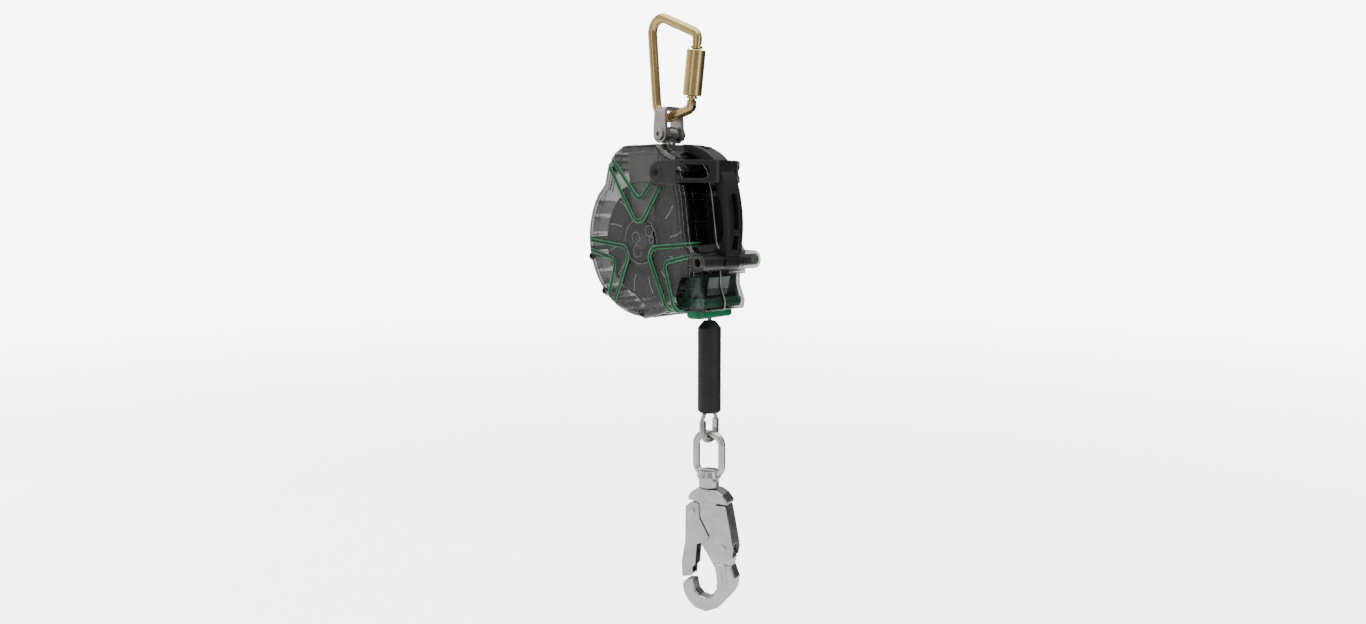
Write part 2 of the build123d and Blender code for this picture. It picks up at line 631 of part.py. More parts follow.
def hook_lock_lever():
    edge = outline([(10, -294), (25.2, -293), (30, -315), (35, -341), (33.4, -350), (23, -358.6), (14, -350),
                    (8.5, -338), (9, -329), (7, -317)], 2.0)
    wall = outline([(22.9, -280), (24.0, -300), (27.8, -315), (33.0, -337), (50, -337), (50, -280)])
    lever = channel(edge, wall, 9.2, 7.6)
    return hang(lever - rod_y(3.0 + RUN, -12, 12, LEVER_PIVOT))


def rivet(pivot, r, half):
    pin = rod_y(r, -half, half, pivot)
    pin += rod_y(r + 1.4, -half - 1.0, -half, pivot) + rod_y(r + 1.4, half, half + 1.0, pivot)
    return hang(pin)


def save(name, shape):
    solids = shape if isinstance(shape, list) else shape.solids()
    moved = [Pos(0, 0, -ANCHOR_Z) * solid for solid in solids]
    result = moved[0] if len(moved) == 1 else Compound(children=moved)
    export_step(result, f"parts/{name}.step")


def build():
    os.makedirs("parts", exist_ok=True)
    save("carabiner_body", carabiner_body())
    save("carabiner_gate_pin", rod_y(2.0, -5.2, 5.2, GATE_PIN))
    save("carabiner_gate", carabiner_gate())
    save("carabiner_lock_sleeve", carabiner_lock_sleeve())
    save("shackle_strap", shackle_strap())
    save("shackle_bolt", shackle_bolt())
    save("shackle_nut", shackle_nut())
    save("swivel_block", swivel_block())
    save("swivel_nut", swivel_nut())
    save("swivel_washer", swivel_washer())
    save("front_shell", half_shell(-1))
    save("rear_shell", half_shell(1))
    save("front_v_ribs", v_ribs(-1))
    save("rear_v_ribs", v_ribs(1))
    save("shell_gasket", shell_gasket())
    save("shell_screws", shell_screws())
    save("carry_handle", carry_handle())
    save("handle_screws", handle_screws())
    save("handle_anchor_tube", handle_anchor_tube())
    save("cable_nozzle", cable_nozzle())
    save("outlet_cross_pin", outlet_cross_pin())
    save("frame_bracket", frame_bracket())
    save("frame_spacers", frame_spacers())
    save("drum_shaft", drum_shaft())
    save("shaft_nuts", shaft_nuts())
    save("spring_case", spring_case())
    save("spring_cover", spring_cover())
    save("brake_hub", brake_hub())
    save("brake_pads", brake_pads())
    save("brake_pressure_plate", brake_pressure_plate())
    save("brake_disc_spring", brake_disc_spring())
    save("ratchet_ring", ratchet_ring())
    save("drum_core", drum_core())
    save("drum_near_flange", drum_near_flange())
    save("drum_far_flange", drum_far_flange())
    save("drum_bushes", drum_bushes())
    save("drum_screws", drum_screws())
    save("wound_cable", wound_cable())
    save("pawl_pins", pawl_pins())
    save("mainspring", mainspring())
    save("pawl_a", pawl(PAWL_ANGLES[0]))
    save("pawl_b", pawl(PAWL_ANGLES[1]))
    save("lifeline_cable", lifeline_cable())
    save("cable_ferrule", cable_ferrule())
    save("cable_bumper", cable_bumper())
    save("cable_thimble", cable_thimble())
    save("hook_swivel_eye", hook_swivel_eye())
    save("hook_body", hook_body())
    save("gate_rivet", rivet(GATE_PIVOT, 2.5, 7.4))
    save("lever_rivet", rivet(LEVER_PIVOT, 3.0, 9.3))
    save("hook_gate", hook_gate())
    save("hook_lock_lever", hook_lock_lever())


build()
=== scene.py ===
"""Looks of a self retracting lifeline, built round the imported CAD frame."""

import json
import math

import bmesh
import bpy
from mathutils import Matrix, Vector

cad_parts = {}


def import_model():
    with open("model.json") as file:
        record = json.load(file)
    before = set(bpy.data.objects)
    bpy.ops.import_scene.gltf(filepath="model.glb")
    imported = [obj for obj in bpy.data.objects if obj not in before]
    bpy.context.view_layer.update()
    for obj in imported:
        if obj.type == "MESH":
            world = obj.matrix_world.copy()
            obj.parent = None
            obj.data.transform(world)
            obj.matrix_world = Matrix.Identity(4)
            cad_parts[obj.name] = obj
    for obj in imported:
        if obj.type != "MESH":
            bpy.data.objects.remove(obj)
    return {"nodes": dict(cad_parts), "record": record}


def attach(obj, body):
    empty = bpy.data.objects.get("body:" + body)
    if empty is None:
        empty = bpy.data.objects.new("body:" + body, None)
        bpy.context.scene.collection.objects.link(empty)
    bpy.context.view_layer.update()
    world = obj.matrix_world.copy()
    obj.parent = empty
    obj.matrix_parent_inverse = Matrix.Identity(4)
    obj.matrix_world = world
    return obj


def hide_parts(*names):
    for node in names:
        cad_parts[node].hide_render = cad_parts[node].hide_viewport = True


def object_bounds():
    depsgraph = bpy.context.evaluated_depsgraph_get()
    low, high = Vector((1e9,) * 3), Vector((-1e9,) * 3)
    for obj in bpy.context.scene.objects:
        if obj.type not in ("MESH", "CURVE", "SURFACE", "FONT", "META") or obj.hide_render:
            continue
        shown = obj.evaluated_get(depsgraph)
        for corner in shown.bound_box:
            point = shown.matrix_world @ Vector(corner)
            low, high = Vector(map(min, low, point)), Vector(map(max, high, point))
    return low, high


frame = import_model()
cad_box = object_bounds()
nodes = frame["nodes"]

MM = 0.001
DRUM_Z = -238.3       # height of the drum centre in the shared frame, mm


# ---------------------------------------------------------------- node helpers

class Tree:
    """Adds nodes to one new material and wires them up."""

    def __init__(self, name):
        self.mat = bpy.data.materials.new(name)
        self.mat.use_nodes = True
        self.nt = self.mat.node_tree
        self.nt.nodes.clear()
        self.out = self.nt.nodes.new("ShaderNodeOutputMaterial")
        self.coord = self.nt.nodes.new("ShaderNodeTexCoord").outputs["Object"]

    def feed(self, socket, value):
        """Sets an input to a number or colour, or links it to an output."""
        if isinstance(value, bpy.types.NodeSocket):
            self.nt.links.new(value, socket)
        else:
            socket.default_value = value

    def add(self, kind, **inputs):
        """New node; an input's name is written with _ for each space."""
        node = self.nt.nodes.new(kind)
        for key, value in inputs.items():
            self.feed(node.inputs[key.replace("_", " ")], value)
        return node

    def compute(self, kind, operation, a, b):
        """Math or vector math node on two values; gives the node."""
        node = self.nt.nodes.new(kind)
        node.operation = operation
        self.feed(node.inputs[0], a)
        self.feed(node.inputs[1], b)
        return node

    def blend(self, share, one, two):
        """Mix of two shaders; share is a number or an output."""
        node = self.add("ShaderNodeMixShader", Fac=share)
        self.nt.links.new(one, node.inputs[1])
        self.nt.links.new(two, node.inputs[2])
        return node.outputs[0]

    def noise(self, scale, detail=4.0, rough=0.55, stretch=(1, 1, 1)):
        """Noise fixed to the object; stretch above 1 squeezes it along that axis."""
        place = self.add("ShaderNodeMapping", Vector=self.coord, Scale=stretch)
        node = self.add("ShaderNodeTexNoise", Vector=place.outputs[0], Scale=scale, Detail=detail,
                        Roughness=rough)
        return node.outputs["Fac"]

    def ramp(self, fac, stops):
        """Colour ramp from (position, colour) pairs."""
        node = self.nt.nodes.new("ShaderNodeValToRGB")
        self.nt.links.new(fac, node.inputs[0])
        while len(node.color_ramp.elements) < len(stops):
            node.color_ramp.elements.new(0.5)
        for element, (pos, colour) in zip(node.color_ramp.elements, stops):
            element.position = pos
            element.color = (*colour, 1)
        return node.outputs[0]

    def remap(self, value, old, new=(0.0, 1.0)):
        """Maps the range old to the range new, held at its ends."""
        node = self.add("ShaderNodeMapRange", Value=value, From_Min=old[0], From_Max=old[1],
                        To_Min=new[0], To_Max=new[1])
        return node.outputs[0]

    def spread(self, fac, low, high):
        """Maps the middle of a noise, 0.3 to 0.7, to low..high."""
        return self.remap(fac, (0.3, 0.7), (low, high))

    def bump(self, height, strength, distance, normal=None):
        """Shading normal roughened by a height, on top of another normal if one is given."""
        node = self.add("ShaderNodeBump", Height=height, Strength=strength, Distance=distance)
        if normal is not None:
            self.nt.links.new(normal, node.inputs["Normal"])
        return node.outputs[0]

    def round_edges(self, radius):
        """Shading normal that rounds sharp edges over a radius in metres."""
        node = self.add("ShaderNodeBevel", Radius=radius)
        node.samples = 4
        return node.outputs[0]

    def surface(self, shader):
        """Ends the material in a shader; gives the material."""
        self.nt.links.new(shader, self.out.inputs["Surface"])
        return self.mat


def shade(colour, k):
    """A colour k times as bright, at most full."""
    return tuple(min(1.0, c * k) for c in colour)


def metal(name, colour, rough, grain=(1, 1, 1), bump=0.12, edge=0.0004, tarnish=0.78, metallic=1.0):
    """Plated or brushed metal: patchy tone, uneven gloss, fine grain; edge 0 leaves edges sharp."""
    t = Tree(name)
    patch = t.noise(60.0, 5.0)
    tone = t.ramp(patch, [(0.25, shade(colour, tarnish)), (0.55, colour), (0.8, shade(colour, 1.12))])
    fine = t.noise(900.0, 3.0, 0.6, grain)
    gloss = t.spread(t.noise(150.0, 4.0), rough * 0.88, rough * 1.15)
    normal = t.bump(fine, bump, 0.0001, t.round_edges(edge) if edge else None)
    node = t.add("ShaderNodeBsdfPrincipled", Base_Color=tone, Roughness=gloss, Normal=normal,
                 Metallic=metallic)
    return t.surface(node.outputs[0])


def moulded(name, colour, rough, grain=1400.0, bump=0.25, variation=0.25, specular=0.5, edge=0.0005):
    """Moulded plastic or rubber: fine spark-eroded grain and slight unevenness."""
    t = Tree(name)
    cloud = t.noise(35.0, 4.0)
    tone = t.ramp(cloud, [(0.3, shade(colour, 1 - variation)), (0.7, shade(colour, 1 + variation))])
    pits = t.noise(grain, 2.0, 0.5)
    gloss = t.spread(t.noise(90.0, 3.0), rough * 0.85, rough * 1.15)
    normal = t.bump(pits, bump, 0.00012, t.round_edges(edge))
    node = t.add("ShaderNodeBsdfPrincipled", Base_Color=tone, Roughness=gloss, Normal=normal,
                 Specular_IOR_Level=specular)
    return t.surface(node.outputs[0])


def clear(name, through, edge, rough=0.05, haze=0.04, mirror=0.9):
    """Clear moulded plastic: see-through head on, darker and more mirrored at a slant."""
    t = Tree(name)
    normal = t.bump(t.noise(30.0, 3.0), 0.15, 0.002)
    slant = t.add("ShaderNodeLayerWeight", Blend=0.5, Normal=normal).outputs["Facing"]
    tint = t.ramp(slant, [(0.0, through), (0.5, shade(through, 0.93)), (0.78, shade(through, 0.6)),
                          (1.0, edge)])
    glass = t.add("ShaderNodeBsdfTransparent", Color=tint)
    gloss = t.spread(t.noise(110.0, 3.0), rough * 0.7, rough * 1.5)
    coat = t.add("ShaderNodeBsdfGlossy", Roughness=gloss, Normal=normal, Color=(mirror, mirror, mirror, 1))
    rise = t.compute("ShaderNodeMath", "POWER", slant, 4.0)
    share = t.remap(rise.outputs[0], (0.0, 1.0), (0.045, 0.85))
    milk = t.ramp(t.noise(60.0, 5.0), [(0.3, shade(edge, 0.6)), (0.7, shade(edge, 1.3))])
    body = t.add("ShaderNodeBsdfDiffuse", Color=milk)
    base = t.blend(haze, glass.outputs[0], body.outputs[0])
    return t.surface(t.blend(share, base, coat.outputs[0]))


RIB_START = (0.0402, 0.0408)    # radii over which the painted crest highlight fades in, m
RIB_END = (0.0596, 0.0590)      # and over which it fades out
RIB_HIGHLIGHT_DEPTH = (0.0008, 0.0003)     # depths below the crest at which the painted highlight starts and is full, m


def ribbed_drum(name, colour, crest, crest_y):
    """Dark moulded flange whose raised ribs carry a painted highlight, a near-white tone along their crests,
    which lie at crest_y.
    """
    t = Tree(name)
    cloud = t.noise(35.0, 4.0)
    dark = t.ramp(cloud, [(0.3, shade(colour, 0.75)), (0.7, shade(colour, 1.25))])
    # painted highlight: near-white tone laid along the rib crests
    pale = t.ramp(t.noise(300.0, 3.0), [(0.3, shade(crest, 0.7)), (0.7, crest)])
    depth = t.add("ShaderNodeSeparateXYZ", Vector=t.coord).outputs["Y"]
    crest_highlight = t.remap(depth, (crest_y + RIB_HIGHLIGHT_DEPTH[0], crest_y + RIB_HIGHLIGHT_DEPTH[1]))
    level = t.add("ShaderNodeMapping", Vector=t.coord, Scale=(1, 0, 1))
    centre = (0, 0, DRUM_Z * MM)
    spoke = t.compute("ShaderNodeVectorMath", "DISTANCE", level.outputs[0], centre).outputs["Value"]
    ring = t.compute("ShaderNodeMath", "MULTIPLY", t.remap(spoke, RIB_START), t.remap(spoke, RIB_END))
    share = t.compute("ShaderNodeMath", "MULTIPLY", crest_highlight, ring.outputs[0])
    tone = t.nt.nodes.new("ShaderNodeMix")
    tone.data_type = "RGBA"
    t.nt.links.new(share.outputs[0], tone.inputs["Factor"])
    t.nt.links.new(dark, tone.inputs[6])
    t.nt.links.new(pale, tone.inputs[7])
    gloss = t.spread(t.noise(90.0, 3.0), 0.3, 0.45)
    normal = t.bump(t.noise(1400.0, 2.0), 0.2, 0.0001, t.round_edges(0.0005))
    node = t.add("ShaderNodeBsdfPrincipled", Base_Color=tone.outputs[2], Roughness=gloss, Normal=normal,
                 Specular_IOR_Level=0.4)
    return t.surface(node.outputs[0])


MATERIALS = {
    "gold_zinc": metal("gold_zinc", (0.53, 0.385, 0.165), 0.27, bump=0.03, edge=0, tarnish=0.9),
    "gate_pin_steel": metal("gate_pin_steel", (0.32, 0.27, 0.17), 0.35),
    "shackle_steel": metal("shackle_steel", (0.40, 0.39, 0.375), 0.34, (1, 1, 12)),
    "swivel_steel": metal("swivel_steel", (0.44, 0.44, 0.43), 0.28),
    "clear_shell": clear("clear_shell", (0.72, 0.72, 0.715), (0.03, 0.031, 0.031), haze=0.03),
    "smoked_wall": clear("smoked_wall", (0.10, 0.105, 0.10), (0.008, 0.009, 0.009), 0.08, 0.25, 0.5),
    "green_rib": clear("green_rib", (0.08, 0.60, 0.22), (0.015, 0.24, 0.085), 0.10, 0.7),
    "green_block": moulded("green_block", (0.026, 0.085, 0.056), 0.30, specular=0.4),
    # painted light: the boss green is raised well above its own colour to make up for the shade of the shell
    # and block over it
    "green_boss": moulded("green_boss", (0.055, 0.22, 0.14), 0.25, specular=0.6),
    "grey_panel": moulded("grey_panel", (0.34, 0.39, 0.365), 0.30, specular=0.4),
    "pale_bead": clear("pale_bead", (0.60, 0.60, 0.60), (0.46, 0.47, 0.46), 0.06, 0.75),
    "green_web": clear("green_web", (0.10, 0.28, 0.16), (0.01, 0.05, 0.025), 0.10, 0.3),
    "clear_bead": clear("clear_bead", (0.62, 0.63, 0.63), (0.008, 0.008, 0.008), 0.04, 0.03),
    "gasket_rubber": moulded("gasket_rubber", (0.02, 0.02, 0.02), 0.6),
    "black_screw": metal("black_screw", (0.035, 0.035, 0.037), 0.38),
    "handle_black": moulded("handle_black", (0.0085, 0.0085, 0.009), 0.34, specular=0.4, edge=0.0018),
    "clear_tube": clear("clear_tube", (0.42, 0.45, 0.42), (0.12, 0.13, 0.12), haze=0.35),
    "nozzle_green": moulded("nozzle_green", (0.0, 0.135, 0.055), 0.42, specular=0.3),
    "frame_steel": metal("frame_steel", (0.36, 0.36, 0.36), 0.55, (1, 1, 8), metallic=0.5),
    "shaft_steel": metal("shaft_steel", (0.14, 0.14, 0.14), 0.3),
    "case_black": moulded("case_black", (0.008, 0.008, 0.008), 0.4, specular=0.3),
    "brake_steel": metal("brake_steel", (0.10, 0.10, 0.10), 0.4),
    "brake_lining": moulded("brake_lining", (0.05, 0.035, 0.025), 0.8),
    "drum_black": moulded("drum_black", (0.018, 0.018, 0.019), 0.42, specular=0.3),
    "bush_bronze": metal("bush_bronze", (0.35, 0.23, 0.10), 0.4),
    "cable_steel": metal("cable_steel", (0.42, 0.42, 0.41), 0.32),
    "spring_steel": metal("spring_steel", (0.10, 0.11, 0.14), 0.3),
    "ferrule_alu": metal("ferrule_alu", (0.45, 0.45, 0.45), 0.35),
    "bumper_black": moulded("bumper_black", (0.011, 0.011, 0.0115), 0.5, specular=0.28),
    "thimble_steel": metal("thimble_steel", (0.50, 0.50, 0.49), 0.25),
    "hook_zinc": metal("hook_zinc", (0.50, 0.50, 0.49), 0.27, edge=0.0016),
    "hook_sheet": metal("hook_sheet", (0.47, 0.47, 0.46), 0.3, (1, 1, 6), edge=0.0009),
}
# the near-white crest colour is the flange's painted rib highlight
FLANGE_PAINT = ribbed_drum("drum_black_ribbed", (0.030, 0.030, 0.031), (0.95, 0.96, 0.95), -0.0382)
# painted shade: a near-black copy of the cable steel for the cable wound inside the drum
WOUND_SHADED_PAINT = metal("cable_steel_wound", (0.05, 0.05, 0.05), 0.42)


def dress(node, paint):
    """Gives every slot of a CAD node one material."""
    for mesh_slot in nodes[node].material_slots:
        mesh_slot.material = paint


for entry in frame["record"]["subparts"]:
    dress(entry["node"], MATERIALS[entry["material_slot"]])
dress("drum_near_flange", FLANGE_PAINT)
dress("wound_cable", WOUND_SHADED_PAINT)


# ---------------------------------------------------------------- mesh helpers

def mm(point):
    """A point in mm from the drum centre, as a point of the shared frame in metres."""
    return Vector((point[0], point[1], point[2] + DRUM_Z)) * MM


def piece(name, bm, paint, body, smooth=True, replaces=()):
    """Finishes a mesh as a shown piece that rides on one body of the record."""
    mesh = bpy.data.meshes.new(name)
    bm.normal_update()
    bm.to_mesh(mesh)
    bm.free()
    for poly in mesh.polygons:
        poly.use_smooth = smooth
    mesh.materials.append(paint)
    obj = bpy.data.objects.new(name, mesh)
    bpy.context.collection.objects.link(obj)
    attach(obj, body)
    if replaces:
        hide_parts(*replaces)


def frames(path, closed=False):
    """Tangent, side and lift directions along a path, carried with the least twist."""
    count = len(path)
    tangents = []
    for i in range(count):
        before = path[i - 1] if (i or closed) else path[0]
        after = path[(i + 1) % count] if (i < count - 1 or closed) else path[-1]
        tangents.append((after - before).normalized())
    side = tangents[0].orthogonal().normalized()
    sides = []
    for tangent in tangents:
        side = (side - tangent * side.dot(tangent)).normalized()
        sides.append(side.copy())
    return [(t, s, t.cross(s)) for t, s in zip(tangents, sides)]


def join_rows(bm, rows, closed=False):
    """Skins a run of rings with the same number of corners; an open run gets both ends closed."""
    for low, high in zip(rows, rows[1:] + rows[:1] if closed else rows[1:]):
        for k in range(len(low)):
            j = (k + 1) % len(low)
            bm.faces.new((low[k], low[j], high[j], high[k]))
    if not closed:
        bm.faces.new(list(reversed(rows[0])))
        bm.faces.new(rows[-1])


def circle(centre, radius, y, count):
    """Points round an axis along Y; centre is X and Z, in mm."""
    turns = [i * math.tau / count for i in range(count)]
    return [mm((centre[0] + radius * math.cos(a), y, centre[1] + radius * math.sin(a))) for a in turns]


def add_tube(bm, path, radius, sides=10, closed=False):
    """Round bar along a path, in metres; radius may be a function of the step."""
    rings = []
    for i, (point, (_, u, v)) in enumerate(zip(path, frames(path, closed))):
        r = radius(i) if callable(radius) else radius
        ring = []
        for k in range(sides):
            a = 2 * math.pi * k / sides
            ring.append(bm.verts.new(point + (u * math.cos(a) + v * math.sin(a)) * r))
        rings.append(ring)
    join_rows(bm, rings, closed)


def add_ring(bm, centre, radius, y, bar, count, sides=8):
    """Round bar bent into a ring about an axis along Y; sizes in mm."""
    add_tube(bm, circle(centre, radius, y, count), bar * MM, sides, closed=True)


def rounded(points, radius, steps=5):
    """Replaces the inner corners of a 3-D broken line with short smooth curves."""
    out = [Vector(points[0])]
    for before, corner, after in zip(points, points[1:], points[2:]):
        before, corner, after = Vector(before), Vector(corner), Vector(after)
        reach = min(radius, (before - corner).length * 0.45, (after - corner).length * 0.45)
        start = corner + (before - corner).normalized() * reach
        end = corner + (after - corner).normalized() * reach
        for i in range(steps + 1):
            k = i / steps
            out.append(start.lerp(corner, k).lerp(corner.lerp(end, k), k))
    out.append(Vector(points[-1]))
    return out


# ---------------------------------------------------------------- housing outline

# From here to the wire rope, bare lengths are in mm, measured from the drum centre.
SHELL_C = (-2.0, 2.0)   # centre of the round part, X and Z
SHELL_R = 87.0
SHELL_Y = 46.0          # half the housing's depth
FOOT_Z = -74.0          # underside of the foot
EAR = (31.0, 75.2)      # handle screw, X and Z
GRIP_WALL = slice(64, 72)       # outline points along the wall behind the grip


def shell_line():
    """Outline of the housing in X and Z, counter-clockwise from the notch."""
    foot = math.atan2(FOOT_Z - SHELL_C[1], (SHELL_R ** 2 - (FOOT_Z - SHELL_C[1]) ** 2) ** 0.5)
    start, end = math.radians(144), foot + 2 * math.pi
    line = []
    for i in range(61):
        a = start + (end - start) * i / 60
        line.append((SHELL_C[0] + SHELL_R * math.cos(a), SHELL_C[1] + SHELL_R * math.sin(a)))
    line += [(85, -74), (86, -64), (79, -47), (79, -10), (73, -2), (70, 20), (66, 50), (59, 76), (47, 92),
             (34, 99), (27, 106), (-30, 106), (-44, 99), (-56, 82), (-61, 64)]
    return line


OUTLINE = shell_line()


def reach_to_rim(origin, heading):
    """Distance from a point to the housing outline along a heading, both in X and Z."""
    best = 1e9
    for (x0, z0), (x1, z1) in zip(OUTLINE, OUTLINE[1:] + OUTLINE[:1]):
        ex, ez = x1 - x0, z1 - z0
        det = heading[0] * -ez + heading[1] * ex
        if abs(det) < 1e-9:
            continue
        dx, dz = x0 - origin[0], z0 - origin[1]
        t = (-dx * ez + ex * dz) / det
        k = (heading[0] * dz - heading[1] * dx) / det
        if t > 0 and -1e-6 <= k <= 1 + 1e-6:
            best = min(best, t)
    return best


def turned(point, angle):
    """A point in X and Z, turned about the drum axis."""
    c, s = math.cos(angle), math.sin(angle)
    return (point[0] * c - point[1] * s, point[0] * s + point[1] * c)


def over_rim(origin, heading, side, stop=2.0, lift=0.5):
    """Runs out over the rounded rim and down the side wall towards the seam."""
    reach = reach_to_rim(origin, heading)
    rows = []
    for back, y in ((8.0, SHELL_Y), (5.2, SHELL_Y - 0.6), (2.2, SHELL_Y - 2.8), (0.6, SHELL_Y - 5.6),
                    (0.0, SHELL_Y - 9.0), (0.0, (SHELL_Y + stop) / 2), (0.0, stop)):
        grow = lift if y < SHELL_Y - 1 else 0.0
        k = reach - back + grow
        rows.append((origin[0] + heading[0] * k, side * (y + lift - grow * 0.4), origin[1] + heading[1] * k))
    return rows


def near_ear(x, z):
    """Whether a spot lies under the handle's ear."""
    return x > 18 and 61 < z < 89


GRIP_X = 52.0           # V arms that start beyond this run on over the wall behind the grip
GRIP_STOP = 26.0        # and end this far from the seam


def v_path(inner, angle, side):
    """One V line: over the rim, down to the apex and back out over the rim, or shorter beside the ear."""
    apex = [(0.0, 44.0)] if inner else [(-6.0, 22.5), (6.0, 22.5)]
    tops = [(-30.0, 76.5), (30.0, 76.5)] if inner else [(-41.0, 72.5), (41.0, 72.5)]
    legs = []
    for top, low in zip(tops, (apex[0], apex[-1])):
        head = (top[0] - low[0], top[1] - low[1])
        size = math.hypot(*head)
        origin = turned(low, angle)
        heading = turned((head[0] / size, head[1] / size), angle)
        rows = over_rim(origin, heading, side)
        hidden = any(near_ear(x, z) for x, _, z in rows)
        if rows[0][0] > GRIP_X:
            rows = over_rim(origin, heading, side, stop=GRIP_STOP)
        if hidden:
            k = min(size * 0.93, reach_to_rim(origin, heading) - 9)
            if angle == 0:
                k = size * (0.72 if inner else 0.78)
            rows = [(origin[0] + heading[0] * k, side * (SHELL_Y + 0.3), origin[1] + heading[1] * k)]
        legs.append(rows)
    hub = [(x, side * (SHELL_Y + (0.5 if inner else 1.7)), z) for x, z in (turned(p, angle) for p in apex)]
    points = [mm(p) for p in list(reversed(legs[0])) + hub + legs[1]]
    return rounded(points, 9 * MM, 6)


def outward(point, tangent, side):
    """Direction out of the housing: out of its face, or out of its side wall once the line runs along Y."""
    radial = Vector((point.x, 0, point.z - DRUM_Z * MM)).normalized()
    slant = abs(tangent.y)
    return (Vector((0, side, 0)) * (1 - slant) + radial * slant).normalized()


def add_strip(bm, path, side, half, thick):
    """Flat tinted web that follows a line on the housing."""
    rows = []
    for point, (tangent, _, _) in zip(path, frames(path)):
        out = outward(point, tangent, side)
        away = tangent.cross(out).normalized()
        rows.append([bm.verts.new(point + away * (w * half) + out * (h * thick))
                     for w, h in ((-1, -1), (1, -1), (1, 0), (-1, 0))])
    join_rows(bm, rows)


WEB_HALF = 1.9          # half the width of a V line, mm
WEB_THICK = 0.9
WIDE_BEAD = 0.85        # radii of the two beads, mm
THIN_BEAD = 0.6


def v_channels(name, side, node):
    """Green V ridges: a tinted web on each line with a bright bead along both of its edges."""
    beads, webs = bmesh.new(), bmesh.new()
    for turn in range(3):
        for inner in (False, True):
            path = v_path(inner, turn * math.tau / 3, side)
            add_strip(webs, path, side, WEB_HALF * MM, WEB_THICK * MM)
            for shift in (-WEB_HALF, WEB_HALF):
                bead = []
                for point, (tangent, _, _) in zip(path, frames(path)):
                    away = tangent.cross(outward(point, tangent, side)).normalized()
                    bead.append(point + away * shift * MM)
                add_tube(beads, bead, (WIDE_BEAD if (shift < 0) == inner else THIN_BEAD) * MM, 8)
    piece(name, beads, MATERIALS["green_rib"], "housing", replaces=(node,))
    piece(name + "_web", webs, MATERIALS["green_web"], "housing", smooth=False)


v_channels("front_v_channels", -1, "front_v_ribs")
v_channels("rear_v_channels", 1, "rear_v_ribs")


# ---------------------------------------------------------------- housing details

def inset_line(inset):
    """The housing outline moved inwards, corner by corner."""
    line = []
    count = len(OUTLINE)
    for i, (x, z) in enumerate(OUTLINE):
        (xa, za), (xb, zb) = OUTLINE[i - 1], OUTLINE[(i + 1) % count]
        one = Vector((x - xa, z - za)).normalized()
        two = Vector((xb - x, zb - z)).normalized()
        normal = (Vector((-one.y, one.x)) + Vector((-two.y, two.x))).normalized()
        stretch = max(0.6, normal.dot(Vector((-one.y, one.x))))
        line.append((x + normal.x * inset / stretch, z + normal.y * inset / stretch))
    return line


def closed_smooth(points, radius, steps=4):
    """Rounds every corner of a closed 3-D line."""
    out = []
    count = len(points)
    for i in range(count):
        before, corner, after = points[i - 1], points[i], points[(i + 1) % count]
        reach = min(radius, (before - corner).length * 0.45, (after - corner).length * 0.45)
        start = corner + (before - corner).normalized() * reach
        end = corner + (after - corner).normalized() * reach
        for k in range(steps + 1):
            f = k / steps
            out.append(start.lerp(corner, f).lerp(corner.lerp(end, f), f))
    return out


def add_block(bm, corners_low, corners_high):
    """Closed block between two outlines with the same number of corners."""
    join_rows(bm, [[bm.verts.new(c) for c in corners] for corners in (corners_low, corners_high)])


def across(outline, half):
    """An outline in X and Z laid at both ends of a width, for add_block."""
    return [[mm((x, y, z)) for x, z in outline] for y in (-half, half)]


def soften(bm, width, segments=2):
    """Evens the normals, then rounds every sharp edge."""
    bmesh.ops.recalc_face_normals(bm, faces=bm.faces)
    sharp = [e for e in bm.edges if len(e.link_faces) == 2 and e.calc_face_angle(0) > 0.5]
    bmesh.ops.bevel(bm, geom=sharp, offset=width, segments=segments, affect="EDGES", clamp_overlap=True)


WALL_BEAD = 33.0        # beads nearer the seam than this run right round the wall
BLOCK_CORNER = (50.0, -34.0)    # the others leave out the corner beyond this X and below this Z
CROWN_CORNER = (14.0, 52.0)     # the crown's steps lie below this X and above this Z


def rim_beads():
    """Moulded beads round the housing, on its seam, wall and face edge, and two dark lines inside the crown;
    the seam bead's pale colour is a painted highlight and the crown lines are painted shade at its steps.
    """
    bm = bmesh.new()
    for inset, y, r in ((0.1, 30.0, 0.6), (1.6, 42.6, 0.55), (6.2, 46.0, 0.6), (11.0, 46.1, 0.5)):
        for side in (-1, 1):
            line = [mm((x, side * y, z)) for x, z in inset_line(inset)]
            path = closed_smooth(line, 4 * MM)
            if y < WALL_BEAD:
                add_tube(bm, path, r * MM, 8, closed=True)
                continue
            block = [i for i, p in enumerate(path)
                     if p.x > BLOCK_CORNER[0] * MM and p.z < (BLOCK_CORNER[1] + DRUM_Z) * MM]
            add_tube(bm, path[block[-1] + 1:] + path[:block[0]], r * MM, 8)
    piece("housing_rim_beads", bm, MATERIALS["clear_bead"], "housing")
    # painted shade: black lines standing for the dark refraction lines at the crown's steps
    steps = bmesh.new()
    for inset, r in ((14.5, 0.55), (19.0, 0.45)):
        crown = [(x, z) for x, z in inset_line(inset) if x < CROWN_CORNER[0] and z > CROWN_CORNER[1]]
        for side in (-1, 1):
            add_tube(steps, rounded([mm((x, side * SHELL_Y, z)) for x, z in crown], 3 * MM), r * MM, 8)
    piece("housing_crown_steps", steps, MATERIALS["gasket_rubber"], "housing")
    # painted highlight: the seam bead's pale hazy colour stands for the bright line along the seam
    seam = bmesh.new()
    middle = closed_smooth([mm((x, 0, z)) for x, z in inset_line(-0.1)], 4 * MM)
    add_tube(seam, middle, 0.6 * MM, 8, closed=True)
    piece("housing_seam_bead", seam, MATERIALS["pale_bead"], "housing")


LAND_STEP = 14          # degrees from one pad to the next
PAD_SPAN = (1.5, 12.0)  # where a pad starts and ends in its step, degrees
PAD_Y = (8.0, 36.0)     # a pad's edges across the wall
GUSSET = ((70, 42.9), (83.6, 42.9), (83.6, 22), (80, 36))       # radius and Y


